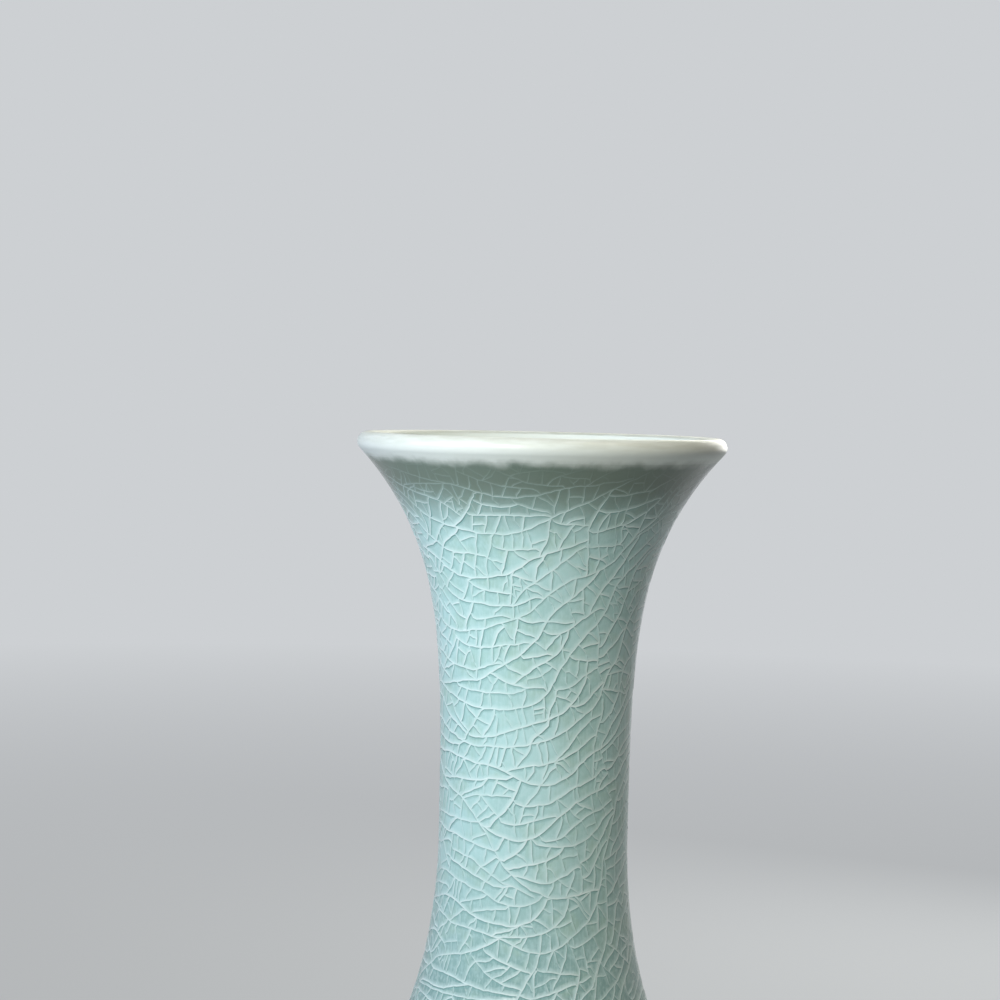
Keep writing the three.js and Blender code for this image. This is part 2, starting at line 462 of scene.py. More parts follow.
def walk(tile, start, turn, own, radius_at):
    """Walks from a place inside a tile along the flow, turned by an angle. Near the border it turns to
    meet it squarely, and it stops there."""
    path = [start]
    while len(path) < MOST_STEPS:
        here = path[-1]
        slope = flow(here, own) + turn
        way = Vector((math.cos(slope), math.sin(slope)))
        radius = radius_at(here.y)
        distance, place = first_hit(tile, here, way, radius)
        if CRACK_STEP < distance < TURN_DISTANCE:
            square = square_to_border(tile, place, tile[place] - here, radius)
            way = way.lerp(square, 1 - distance / TURN_DISTANCE).normalized()
            distance, place = first_hit(tile, here, way, radius)
        if distance <= CRACK_STEP:
            return path, place
        path.append(here + Vector((way.x / radius, way.y)) * CRACK_STEP)
    return path, None


def walk_both_ways(tile, through, turn, own, radius_at):
    """A crack through a place: the points from border to border, and the two places on the border."""
    ahead, end = walk(tile, through, turn, own, radius_at)
    back, start = walk(tile, through, turn + math.pi, own, radius_at)
    if start is None or end is None:
        return None
    return [tile[start]] + back[:0:-1] + ahead + [tile[end]], start, end


slope_in_front = math.degrees(flow(Vector((-math.pi / 2, outer_skin.length))))
print("slope of a long crack at the lip, in front:", round(slope_in_front), "degrees")

# %% [markdown]
# A small tile leaves no room for a long course. Its pull is strongest near the middle of its longest
# side, so the crack starts there, leaves at about a right angle and meets the far side in the same
# way. A cubic curve is fixed by two such ends. A die draws where the crack starts and how far it leans.
# The die has a fixed seed, and so has Blender's vector noise, which would otherwise take one from the
# clock, so the net comes out the same each time.

# %% How a short crack runs
CORNER = math.cos(math.radians(38))
START_BETWEEN = (0.22, 0.78)
SHORT_LEAN = 0.3
SHORTEST_CRACK = 1.5 * CRACK_STEP
STRAIGHTER = (0, 0.3)
HANDLE_SHARE = (0.3, 0.45)
SEED = 7
dice = random.Random(SEED)
noise.seed_set(SEED)


def longest_side(tile, radius):
    """The places along the longest side of a tile, between two of its corners."""
    count = len(tile)
    steps = [real(tile[(i + 1) % count] - tile[i], radius).normalized() for i in range(count)]
    corners = [i for i in range(count) if steps[i].dot(steps[i - 1]) < CORNER]
    if len(corners) < 2:
        return list(range(count))
    sides = [
        [(a + k) % count for k in range(1, (b - a) % count or count)]
        for a, b in zip(corners, corners[1:] + corners[:1])
    ]
    return max(sides, key=len)


def handle(way, straight, length):
    """How a short crack sets out from one of its ends: near the given way, a share of its length."""
    return way.lerp(straight, dice.uniform(*STRAIGHTER)) * length * dice.uniform(*HANDLE_SHARE)


def short_crack(tile, radius, centre):
    """A crack from the middle of a tile's longest side, straight across it and slightly curved."""
    side = longest_side(tile, radius)
    if not side:
        return None
    i = side[int(len(side) * dice.uniform(*START_BETWEEN))]
    leaving = square_to_border(tile, i, centre - tile[i], radius)
    leaving.rotate(Matrix.Rotation(dice.gauss(0, SHORT_LEAN), 2))
    hits = [hit for hit in crossings(tile, tile[i], leaving, radius) if hit[0] > SHORTEST_CRACK]
    if not hits:
        return None
    j = hits[0][1]
    reach = real(tile[j] - tile[i], radius)
    arriving = square_to_border(tile, j, tile[i] - tile[j], radius)
    straight = reach.normalized()
    handle_i = handle(leaving, straight, reach.length)
    handle_j = handle(arriving, -straight, reach.length)
    steps = max(2, round(reach.length / CRACK_STEP))
    points = [tile[i]]
    for step in range(1, steps):
        t = step / steps
        offset = handle_i * (3 * t * (1 - t) ** 2) + reach * (3 * t * t - 2 * t ** 3)
        offset += handle_j * (3 * t * t * (1 - t))
        points.append(Vector((tile[i].x + offset.x / radius, tile[i].y + offset.y)))
    return points + [tile[j]], i, j


print("a short crack is at least", round(SHORTEST_CRACK / MM, 1), "mm long")

# %% [markdown]
# A large tile can split along the flow or across it. Along is the rule, until the tile is a band less
# than about 5 mm wide. A long and slender tile splits across, and so does one in which a crack along the
# flow would only crowd an older one.

# %% Where a tile splits
BAND = 5.4 * MM
LARGE_TILE = 9 * MM
LONGEST_ACROSS = 27 * MM
ACROSS = math.radians(64)
ACROSS_LEAN, ALONG_LEAN = 0.3, 0.24
SLENDER = (1.7, 4.6)
MOST_OWN = 9
HEART_LEAN, HEART_DRIFT = 0.4, 0.05
CLEARANCE = 2 * MM
PROBE_EVERY = 3
CROWDED_SHARE = 0.25


def heart(tile, centre, radius, area):
    """A place well inside a tile, even if it is bent and its centre lies outside it."""
    slope = flow(centre) + math.pi / 2 + dice.gauss(0, HEART_LEAN)
    way = Vector((math.cos(slope), math.sin(slope)))
    through = centre + Vector((dice.gauss(0, HEART_DRIFT) * math.sqrt(area) / radius, 0))
    hits = crossings(tile, through, way, radius)
    spans = [(b[0] - a[0], (a[0] + b[0]) / 2) for a, b in zip(hits[::2], hits[1::2])]
    if not spans:
        return None
    middle = max(spans)[1]
    return through + Vector((way.x / radius, way.y)) * middle


def crowds(crack, tile, radius):
    """Whether a crack runs close beside the border of its tile for a good part of its way."""
    probes = crack[PROBE_EVERY:-PROBE_EVERY:PROBE_EVERY]
    near = sum(min(real(p - q, radius).length_squared for q in tile) < CLEARANCE ** 2 for p in probes)
    return near > CROWDED_SHARE * len(probes)


def split(tile, radius_at):
    """The next crack in a tile, as (points, place, place), or None where none was found."""
    centre, radius, area = measure(tile, radius_at)
    if area < LARGE_TILE ** 2:
        return short_crack(tile, radius, centre)
    through = heart(tile, centre, radius, area)
    if not through:
        return None
    own = dice.uniform(0, MOST_OWN)
    turn_across = ACROSS + dice.gauss(0, ACROSS_LEAN)
    turn_along = dice.gauss(0, ALONG_LEAN)
    across = walk_both_ways(tile, through, turn_across, own, radius_at)
    along = walk_both_ways(tile, through, turn_along, own, radius_at)
    if not across or not along:
        return across or along
    thickness, length = len(across[0]) * CRACK_STEP, len(along[0]) * CRACK_STEP
    slender = thickness < LONGEST_ACROSS and length > thickness * dice.uniform(*SLENDER)
    if thickness < BAND or slender:
        return across
    if not crowds(along[0], tile, radius):
        return along
    return across if thickness < LONGEST_ACROSS else None


print("tiles under", round(LARGE_TILE / MM), "mm across split by short cracks")

# %% [markdown]
# The first tile is the whole skin, laid flat, so it has to be cut open from foot to lip. A straight
# cut would show as a line that no glaze has. So this seam wanders by noise, at the back of the pot,
# and it becomes a crack like the others.

# %% The whole skin as one tile
SEAM_ANGLE = math.pi / 2
SEAM_SWING, SEAM_WAVE = 0.35, 40 * MM
SEAM_WANDER, SEAM_BEND = 14 * MM, 9 * MM
SEAM_FINENESS = 1.5
EDGE_POINTS = 200


def seam_at(along, radius_at):
    """The spot where the seam passes a distance along the outline."""
    wander = SEAM_WANDER * noise.noise(Vector((0.5, 0.5, along / SEAM_BEND))) / radius_at(along)
    return Vector((SEAM_ANGLE + SEAM_SWING * math.sin(along / SEAM_WAVE) + wander, along))


def whole_skin(low, high, radius_at):
    """The seam between two distances along the outline, and the border of all that lies between."""
    rows = round(SEAM_FINENESS * (high - low) / CRACK_STEP)
    seam = [seam_at(low + (high - low) * row / rows, radius_at) for row in range(rows + 1)]
    turn = Vector((2 * math.pi, 0))
    top = [seam[-1] + turn * i / EDGE_POINTS for i in range(1, EDGE_POINTS)]
    bottom = [seam[0] + turn * i / EDGE_POINTS for i in range(EDGE_POINTS - 1, 0, -1)]
    return seam, seam + top + [p + turn for p in reversed(seam)] + bottom


print("the seam runs at", round(math.degrees(SEAM_ANGLE)), "degrees, at the back")

# %% [markdown]
# Tiles are split until they are about 4 mm across, and in some patches they go on splitting, down to
# about 2.5 mm. A split that would leave a mere sliver is tried again, and each try accepts a slightly
# smaller part. Short cracks open less than long ones.

# %% Grow the net of cracks
TILE = 4.3 * MM
FINE_TILE = 2.5 * MM
SPLIT_AGAIN = 4 * MM
FINE_PATCH = 9 * MM
FINE_SHARE = 0.36
TILE_SPREAD = (0.75, 1.3)
FEWEST_POINTS = 7
MOST_TRIES = 9
LEAST_PART, PART_DROP = 0.18, 0.02
SEAM_STRENGTH = 0.6
FULL_STRENGTH_LENGTH = 8 * MM
LEAST_STRENGTH = 0.5
STRENGTH_SPREAD = (0.7, 1.0)


def two_parts(tile, radius_at):
    """A crack that splits a tile, and the two parts that it leaves, or None where no try worked."""
    area = measure(tile, radius_at)[2]
    for attempt in range(MOST_TRIES):
        found = split(tile, radius_at)
        if found and 2 <= abs(found[1] - found[2]) <= len(tile) - 2:
            crack, i, j = found
            if i > j:
                i, j, crack = j, i, crack[::-1]
            parts = tile[i:j] + crack[:0:-1], tile[j:] + tile[:i] + crack[:-1]
            smallest = min(measure(part, radius_at)[2] for part in parts)
            if smallest > (LEAST_PART - PART_DROP * attempt) * area:
                return crack, parts
    return None


def crackle(low, high, radius_at, fine=True):
    """Cracks as (points, strength) between two distances along an unrolled surface."""
    seam, whole = whole_skin(low, high, radius_at)
    waiting, cracks = [(whole, False)], [(seam, SEAM_STRENGTH)]
    given_up = 0
    while waiting:
        tile, finer = waiting.pop()
        centre, radius, area = measure(tile, radius_at)
        goal = (FINE_TILE if finer else TILE) * dice.uniform(*TILE_SPREAD)
        if area < goal * goal or len(tile) < FEWEST_POINTS:
            patch = noise.noise(Vector((centre.x * radius, centre.y, 0)) / FINE_PATCH)
            if finer or not fine or patch < FINE_SHARE or area < SPLIT_AGAIN ** 2:
                continue
            finer = True
        found = two_parts(tile, radius_at)
        if not found:
            given_up += 1
            continue
        crack, parts = found
        long_enough = min(len(crack) * CRACK_STEP / FULL_STRENGTH_LENGTH, 1)
        strength = LEAST_STRENGTH + (1 - LEAST_STRENGTH) * long_enough
        cracks.append((crack, strength * dice.uniform(*STRENGTH_SPREAD)))
        waiting += [(part, finer) for part in parts]
    metres = round(sum(len(points) for points, _ in cracks) * CRACK_STEP, 1)
    print("cracks:", len(cracks), "in all", metres, "m, tiles given up:", given_up)
    return cracks


FIRST_CRACK = 3 * MM
LIP_CLEAR = 0.6 * MM
MOUTH_CLEAR = 8 * MM
outer_cracks = crackle(FIRST_CRACK, outer_skin.length - LIP_CLEAR, outer_skin.radius)
mouth_cracks = crackle(0.0, mouth_skin.length - MOUTH_CLEAR, mouth_skin.radius, fine=False)

# %% [markdown]
# In clear glaze a crack is a sheet of air. It throws back the light that falls on it from above and
# shades the glaze behind it, so the eye sees a dark hairline with a bright rim over it. Above the rim a
# haze fades into the tile, and under the hairline a shade does. These are coloured on: rim and haze are
# painted highlight, and shade and hairline are painted shade, fixed on the side of each crack that faces
# TOWARDS_LIGHT, up and to the left. Each crack is made as a low ridge: a crest, a wide flank in two
# strips on the lit side, and on the other side a steep step, at whose foot the hairline runs, and a wide
# shaded flank. A real crack is a few hundredths of a millimetre wide, which is too fine to show, so rim
# and hairline are as wide as the eye needs. A crack that runs along the light catches less of it, so its
# ridge is narrower and fainter.

# %% The course of a ridge
LIT_NEAR, LIT_FAR = 0.65 * MM, 1.9 * MM
STEP_FOOT, SHADE_FAR = 0.14 * MM, 1.4 * MM
CREST, SHELF, LEDGE, SINK = 0.1 * MM, 0.028 * MM, 0.035 * MM, 0.02 * MM
TOWARDS_LIGHT = Vector((-0.4, 0.9))
FULL_LIGHT = 0.75
LEAST_LIT, LEAST_WIDTH = 0.35, 0.35
RISE_AT_LIP, RISE_CLOSED, RISE_OPEN = 0.1, 0.35, 0.55
KINK, KINK_SIZE = 0.4 * MM, 3.4 * MM
NICK, NICK_SIZE = 0.22 * MM, 1.3 * MM
FADE_START, FADE_LENGTH = 0.8 * MM, 19 * MM


def kinked(skin, spot):
    """A spot moved a little by noise, so that no crack is smooth. Cracks that meet move together."""
    radius = skin.radius(spot.y)
    place = Vector((radius * math.cos(spot.x), radius * math.sin(spot.x), spot.y))
    shift = KINK * noise.noise_vector(place / KINK_SIZE) + NICK * noise.noise_vector(place / NICK_SIZE)
    return Vector((spot.x + shift.x / radius, spot.y + shift.y))


def ridge_course(skin, crack, strength):
    """For each point of a crack: its crest, its force, and the steps to the edges of its flanks."""
    crack = [kinked(skin, spot) for spot in crack]
    course = []
    for i, spot in enumerate(crack):
        radius = skin.radius(spot.y)
        ahead = real(crack[min(i + 1, len(crack) - 1)] - crack[max(i - 1, 0)], radius)
        side = Vector((-ahead.y, ahead.x)).normalized()
        lit = side.dot(TOWARDS_LIGHT)
        below_lip = min(max((skin.length - spot.y - FADE_START) / FADE_LENGTH, 0), 1) ** 2
        openness = strength * (LEAST_LIT + (1 - LEAST_LIT) * min(abs(lit) / FULL_LIGHT, 1))
        force = openness * below_lip
        side *= math.copysign(1, lit) * (LEAST_WIDTH + (1 - LEAST_WIDTH) * force)
        step = Vector((side.x / radius, side.y))
        rise = RISE_AT_LIP + (RISE_CLOSED + RISE_OPEN * openness) * below_lip
        crest = skin.place(spot, CREST * rise)
        near = skin.place(spot + step * LIT_NEAR, SHELF * rise) - crest
        far = skin.place(spot + step * LIT_FAR, -SINK) - crest
        foot = skin.place(spot - step * STEP_FOOT, LEDGE * rise) - crest
        shade = skin.place(spot - step * SHADE_FAR, -SINK) - crest
        course.append((crest, force, near, far, foot, shade))
    return course


print("a ridge is at most", round((LIT_FAR + SHADE_FAR) / MM, 1), "mm wide")

# %% [markdown]
# The crests are laid as chains of edges, and each vertex carries the steps to the edges of its flanks.
# One extrusion then makes the same strip of all the ridges at once. The last two strips meet under the
# ridge and close it, and filling the holes caps its ends. The numbers pale, dark and force stay on the
# vertices as attributes, for the material to read.

# %% Make ridges from cracks
STRIP_GAP = 0.0005 * MM


def ridges(name, skin, cracks):
    """A new object with one low closed ridge for each crack."""
    bm = bmesh.new()
    layers = [bm.verts.layers.float_vector.new(side) for side in ("near", "far", "foot", "shade")]
    near, far, foot, shade = layers
    pale = bm.verts.layers.float.new("pale")
    dark = bm.verts.layers.float.new("dark")
    forces = bm.verts.layers.float.new("force")
    for crack, strength in cracks:
        row = []
        for crest, force, *steps in ridge_course(skin, crack, strength):
            vert = bm.verts.new(crest)
            for layer, step in zip(layers, steps):
                vert[layer] = step
            vert[pale], vert[forces] = 1, force
            row.append(vert)
        for a, b in zip(row, row[1:]):
            bm.edges.new((a, b))

    def extruded(edges, move, paleness, darkness):
        """Extrudes a row of edges, moves the new vertices and returns the new edges."""
        made = bmesh.ops.extrude_edge_only(bm, edges=edges)["geom"]
        for vert in made:
            if isinstance(vert, bmesh.types.BMVert):
                vert.co += move(vert)
                vert[pale], vert[dark] = paleness, darkness
        return [e for e in made if isinstance(e, bmesh.types.BMEdge)]

    crests = bm.edges[:]
    shelf = extruded(crests, lambda v: v[near], 1 - LIT_NEAR / LIT_FAR, 0)
    brink = extruded(shelf, lambda v: v[far] - v[near], 0, 0)
    extruded(brink, lambda v: v[shade] - v[far], 0, 0)
    ledge = extruded(crests, lambda v: v[foot], 0, 1)
    extruded(ledge, lambda v: v[shade] - v[foot], 0, 0)
    bmesh.ops.remove_doubles(bm, verts=bm.verts[:], dist=STRIP_GAP)
    bmesh.ops.holes_fill(bm, edges=bm.edges[:], sides=5)
    bmesh.ops.recalc_face_normals(bm, faces=bm.faces[:])
    return finished(bm, name)


# %% [markdown]
# One mesh for the whole net would be heavy, so the outside is made in five pieces by height. A crack
# belongs to the piece that holds its middle, so no crack is cut. The mouth has a piece of its own.

# %% The crackle in pieces
PARTS = (
    ("bowl", 0, 0.14),
    ("low_belly", 0.14, 0.25),
    ("belly", 0.25, 0.37),
    ("shoulder", 0.37, 0.56),
    ("neck", 0.56, 1.01),
)


def between(cracks, low, high):
    """The cracks whose middle lies between two places along the outline."""
    return [c for c in cracks if low <= c[0][len(c[0]) // 2].y < high]


crackle_pieces = []
for part, low, high in PARTS:
    some = between(outer_cracks, low * outer_skin.length, high * outer_skin.length)
    crackle_pieces.append(ridges("crackle_" + part, outer_skin, some))
mouth_crackle = ridges("crackle_mouth", mouth_skin, mouth_cracks)

# %% [markdown]
# Colours are written as sRGB hex, as a colour picker gives them, and one function turns them to the
# linear values that the shader works in. One small function adds a node with its settings and links.

# %% Helpers for materials
def linear(hex_colour):
    """sRGB hex to a linear RGBA colour."""
    values = [int(hex_colour[i:i + 2], 16) / 255 for i in (1, 3, 5)]
    return [v / 12.92 if v <= 0.04045 else ((v + 0.055) / 1.055) ** 2.4 for v in values] + [1]


def emptied(owner):
    """The node tree of a material or a world, with nothing in it."""
    owner.use_nodes = True
    owner.node_tree.nodes.clear()
    return owner.node_tree


def add(tree, kind, settings=None, **inputs):
    """Adds a node. Settings are its own properties. Inputs are values, or sockets to link from."""
    node = tree.nodes.new(kind)
    for key, value in (settings or {}).items():
        setattr(node, key, value)
    for key, value in inputs.items():
        socket = node.inputs[int(key[1:])] if key[0] == "_" else node.inputs[key.replace("_", " ")]
        if isinstance(value, bpy.types.NodeSocket):
            tree.links.new(value, socket)
        else:
            socket.default_value = value
    return node


print("half grey is", round(linear("#808080")[0], 3), "to the shader")

# %% [markdown]
# A glaze gets its colour in layers, and each layer has the same recipe. A value that changes over the
# surface, such as noise, the height or the nearness of a crack, rises from one limit to another, and
# the colour turns to the layer's tint as it does. A force can hold the tint back in places. So a layer
# is written as its tint, and as the limits and the most that it may tint.

# %% A layer of colour
PATCH_FROM, PATCH_TO = 0.35, 0.6


def tinted(tree, colour, tint, value, start, end, most=1.0, force=1.0):
    """The colour, turned to a tint where a value rises from start to end, at most by a share."""
    rise = add(tree, "ShaderNodeMapRange", {"interpolation_type": "SMOOTHSTEP"},
               _0=value, _1=start, _2=end, _4=most)
    share = add(tree, "ShaderNodeMath", {"operation": "MULTIPLY"}, _0=rise.outputs[0], _1=force)
    mixed = add(tree, "ShaderNodeMix", {"data_type": "RGBA"},
                _0=share.outputs[0], _6=colour, _7=linear(tint))
    return mixed.outputs[2]


def patchy(tree, force, place, size, least):
    """A force that drops to a share of itself here and there, in patches of a real size."""
    cloud = add(tree, "ShaderNodeTexNoise", Vector=place, Scale=1 / size, Detail=2.0)
    share = add(tree, "ShaderNodeMapRange",
                _0=cloud.outputs[0], _1=PATCH_FROM, _2=PATCH_TO, _3=least)
    held = add(tree, "ShaderNodeMath", {"operation": "MULTIPLY"}, _0=force, _1=share.outputs[0])
    return held.outputs[0]


# %% [markdown]
# Celadon is a clear stoneware glaze with a little iron in it, fired with a smoky flame. Below the waist
# of the neck it is painted a deeper, darker blue-green, as painted shade for the light that weakens down
# the body. Small bubbles and the marks of the brush under it stop it from looking like plastic: clouds
# 22 mm across, a greener tint in patches of 7 mm, upright streaks half a millimetre wide and specks of a
# millimetre.

# %% The body of the glaze
GLAZE_DEEP = "#B5DDD8"
GLAZE_LIGHT, LIGHT_LIMITS, CLOUD_SIZE = "#C4EBE8", (0.35, 0.65), 22 * MM
GLAZE_LOW_SHADE, MOST_LOW_SHADE = "#84ADA9", 0.9
LOW_SHADE_FROM, LOW_SHADE_TO = WAIST_HEIGHT, WAIST_HEIGHT - 44 * MM
GLAZE_GREEN, GREEN_LIMITS, GREEN_SIZE = "#B4D6C6", (0.45, 0.7, 0.55), 7 * MM
GLAZE_SPECK = "#D2F0EF"
STREAK_LIMITS, STREAK_SIZE, STREAK_STRETCH = (0.4, 0.7, 0.3), 0.55 * MM, 0.12
SPECK_LIMITS, SPECK_SIZE = (0.45, 0.75, 0.35), 1.1 * MM


def glaze_body(tree, place):
    """The colour of the glaze away from lip and cracks."""
    clouds = add(tree, "ShaderNodeTexNoise", Vector=place, Scale=1 / CLOUD_SIZE, Detail=3.0)
    colour = tinted(tree, linear(GLAZE_DEEP), GLAZE_LIGHT, clouds.outputs[0], *LIGHT_LIMITS)
    height = add(tree, "ShaderNodeSeparateXYZ", Vector=place)
    # Painted shade: darker from the waist down, as the light weakens down the body.
    colour = tinted(tree, colour, GLAZE_LOW_SHADE, height.outputs["Z"], LOW_SHADE_FROM, LOW_SHADE_TO, MOST_LOW_SHADE)
    patches = add(tree, "ShaderNodeTexNoise", Vector=place, Scale=1 / GREEN_SIZE, Detail=3.0)
    colour = tinted(tree, colour, GLAZE_GREEN, patches.outputs[0], *GREEN_LIMITS)
    upright = add(tree, "ShaderNodeVectorMath", {"operation": "MULTIPLY"},
                  _0=place, _1=(1.0, 1.0, STREAK_STRETCH))
    streaks = add(tree, "ShaderNodeTexNoise", Vector=upright.outputs[0], Scale=1 / STREAK_SIZE)
    colour = tinted(tree, colour, GLAZE_SPECK, streaks.outputs[0], *STREAK_LIMITS)
    specks = add(tree, "ShaderNodeTexNoise", Vector=place, Scale=1 / SPECK_SIZE)
    return tinted(tree, colour, GLAZE_SPECK, specks.outputs[0], *SPECK_LIMITS)


# %% [markdown]
# Over the roll of the lip the glaze ran thin. It is nearly white there, and at the very top the clay
# tints it a little; the top is also painted a little darker, as painted shade that evens out the light
# that falls strongest there. What ran off gathered under the roll, where it is thick and olive grey, and
# this dark band is also painted shadow of the overhanging lip, reaching 27 mm down from the top. The
# bands end at a height, and noise lets the height wander by a millimetre so that no edge looks ruled.
# The clay's tint lies in streaks of 0.8 mm along the lip, as the wheel and years of wear leave it.

# %% The bands at the lip
GLAZE_THIN = "#EBF2EC"
GLAZE_CLAY_AND_SHADE = "#D9DFD6"
GLAZE_POOL_AND_SHADOW = "#687667"
POOL_SHADOW_FROM, POOL_SHADOW_TO = VASE_HEIGHT - 27 * MM, VASE_HEIGHT - 10 * MM
CLAY_SHADE_FROM, CLAY_SHADE_TO = VASE_HEIGHT - 4 * MM, VASE_HEIGHT - 1.8 * MM
LIP_PALE = (VASE_HEIGHT - 7.6 * MM, VASE_HEIGHT - 4.8 * MM)
# In the mouth the pale band is partly thin glaze and partly painted light on the shaded far wall.
MOUTH_PALE_AND_LIGHT = (VASE_HEIGHT - 26 * MM, VASE_HEIGHT - 14 * MM)
EDGE_WANDER, EDGE_SIZE = 1.2 * MM, 5 * MM
WEAR_STRETCH, WEAR_SIZE, LEAST_WEAR = 0.12, 0.8 * MM, 0.45


def lip_bands(tree, place, colour, pale_heights, pool_and_shadow_share, bare):
    """The dark band under the lip, pooled glaze and painted shadow, the pale one over it and the top,
    tinted by clay and painted shade.
    """
    height = add(tree, "ShaderNodeSeparateXYZ", Vector=place)
    ragged = add(tree, "ShaderNodeTexNoise", Vector=place, Scale=1 / EDGE_SIZE, Detail=3.0)
    wander = add(tree, "ShaderNodeMapRange", _0=ragged.outputs[0], _3=-EDGE_WANDER, _4=EDGE_WANDER)
    edge = add(tree, "ShaderNodeMath", _0=height.outputs["Z"], _1=wander.outputs[0]).outputs[0]
    # Thick pooled glaze, and painted shadow of the overhanging lip.
    colour = tinted(tree, colour, GLAZE_POOL_AND_SHADOW, edge, POOL_SHADOW_FROM, POOL_SHADOW_TO, pool_and_shadow_share)
    colour = tinted(tree, colour, GLAZE_THIN, edge, *pale_heights)
    level = add(tree, "ShaderNodeVectorMath", {"operation": "MULTIPLY"},
                _0=place, _1=(WEAR_STRETCH, WEAR_STRETCH, 1.0))
    streaks = patchy(tree, bare, level.outputs[0], WEAR_SIZE, LEAST_WEAR)
    # Clay tint, and painted shade on the top of the roll.
    return tinted(tree, colour, GLAZE_CLAY_AND_SHADE, height.outputs["Z"], CLAY_SHADE_FROM, CLAY_SHADE_TO, 1.0, streaks)


# %% [markdown]
# The colours of a crack follow the numbers that its ridge carries: pale rises from the lit edge to the
# crest, dark rises from the shaded edge to the foot of the step, and force says how open the crack is.
# The net is clear in some places and faint in others, in patches of 12 mm. The dark hairline and the
# shade beside it are painted shade, and the haze and bright rim are painted highlight. The hairlines are
# darkest on the neck and fainter below it, and they fade in patches.

# %% The cracks in the glaze
CRACK_HAZE_HIGHLIGHT, HAZE_LIMITS = "#DDF6F3", (0.1, 1.0, 0.85)
CRACK_SHADE, SHADE_LIMITS = "#8CBCB9", (0.1, 0.9, 0.65)
CRACK_RIM_HIGHLIGHT, PALE_LIMITS = "#E9FBF9", (0.74, 0.92, 1.1)
CRACK_HAIRLINE_SHADOW, DARK_LIMITS = "#3E6C68", (0.82, 0.93, 1.0)
FAINT_SIZE, LEAST_FAINT = 12 * MM, 0.7
BROKEN_SIZE, LEAST_BROKEN = 0.9 * MM, 0.5
HAIRLINE_PATCH_SIZES, LEAST_HAIRLINE_PATCH = (5 * MM, 25 * MM), 0.6
HAIRLINE_FADE_FROM, HAIRLINE_FADE_TO = WAIST_HEIGHT - 10 * MM, WAIST_HEIGHT + 25 * MM
LEAST_HAIRLINE_LOW = 0.5


def crack_colours(tree, place, colour):
    """Painted highlight (haze, bright rim) and painted shade (shade, dark hairline) over a colour, from
    the attributes of the ridges.
    """
    pale, dark, force = (
        add(tree, "ShaderNodeAttribute", {"attribute_name": name}).outputs["Fac"]
        for name in ("pale", "dark", "force")
    )
    force = patchy(tree, force, place, FAINT_SIZE, LEAST_FAINT)
    # Painted highlight: the haze and the bright rim on the lit side of each crack. Painted shade: the
    # shade on the other side.
    colour = tinted(tree, colour, CRACK_HAZE_HIGHLIGHT, pale, *HAZE_LIMITS, force)
    colour = tinted(tree, colour, CRACK_SHADE, dark, *SHADE_LIMITS, force)
    bright = patchy(tree, force, place, BROKEN_SIZE, LEAST_BROKEN)
    colour = tinted(tree, colour, CRACK_RIM_HIGHLIGHT, pale, *PALE_LIMITS, bright)
    # The hairline is painted shade, darkest on the neck and fainter below it.
    height = add(tree, "ShaderNodeSeparateXYZ", Vector=place)
    held = add(tree, "ShaderNodeMapRange",
               _0=height.outputs["Z"], _1=HAIRLINE_FADE_FROM, _2=HAIRLINE_FADE_TO, _3=LEAST_HAIRLINE_LOW)
    hairline_by_height = add(tree, "ShaderNodeMath", {"operation": "MULTIPLY"}, _0=force, _1=held.outputs[0])
    hairline_force = hairline_by_height.outputs[0]
    for size in HAIRLINE_PATCH_SIZES:
        hairline_force = patchy(tree, hairline_force, place, size, LEAST_HAIRLINE_PATCH)
    return tinted(tree, colour, CRACK_HAIRLINE_SHADOW, dark, *DARK_LIMITS, hairline_force)


# %% [markdown]
# A glaze is a skin of glass, so its IOR is 1.5 and its roughness low, and the mirrored lamps are what
# makes it look wet. Where it ran thin over the lip it is duller. A faint ripple, 4 mm across, makes the
# mirrored lamps waver as they do on glaze that has run. Four materials share the recipe: clear and
# crackled, outside and in the mouth, where the glaze pales from much lower down. That deep pale band is
# partly thin glaze and partly painted light, which brightens the far wall of the mouth where it lies in
# shade.

# %% The glaze as a material
GLOSSY, DULL = 0.14, 0.38
GLASS_IOR = 1.5
RIPPLE_SIZE, RIPPLE_HEIGHT, RIPPLE_STRENGTH = 4 * MM, 0.05 * MM, 0.35
POOL_SHADOW_SHARE = 0.92


def glaze(name, cracks=False, pale_heights=LIP_PALE, pool_and_shadow_share=POOL_SHADOW_SHARE, bare=1.0):
    """Glossy celadon, which turns pale between two heights near the lip."""
    material = bpy.data.materials.new(name)
    tree = emptied(material)
    place = add(tree, "ShaderNodeTexCoord").outputs["Object"]
    colour = lip_bands(tree, place, glaze_body(tree, place), pale_heights, pool_and_shadow_share, bare)
    if cracks:
        colour = crack_colours(tree, place, colour)
    height = add(tree, "ShaderNodeSeparateXYZ", Vector=place)
    rough = add(tree, "ShaderNodeMapRange", _0=height.outputs["Z"],
                _1=pale_heights[0], _2=pale_heights[1], _3=GLOSSY, _4=DULL)
    ripple = add(tree, "ShaderNodeTexNoise", Vector=place, Scale=1 / RIPPLE_SIZE)
    bump = add(tree, "ShaderNodeBump",
               Height=ripple.outputs[0], Strength=RIPPLE_STRENGTH, Distance=RIPPLE_HEIGHT)
    shader = add(tree, "ShaderNodeBsdfPrincipled", Base_Color=colour,
                 Roughness=rough.outputs[0], IOR=GLASS_IOR, Normal=bump.outputs[0])
    add(tree, "ShaderNodeOutputMaterial", Surface=shader.outputs[0])
    return material


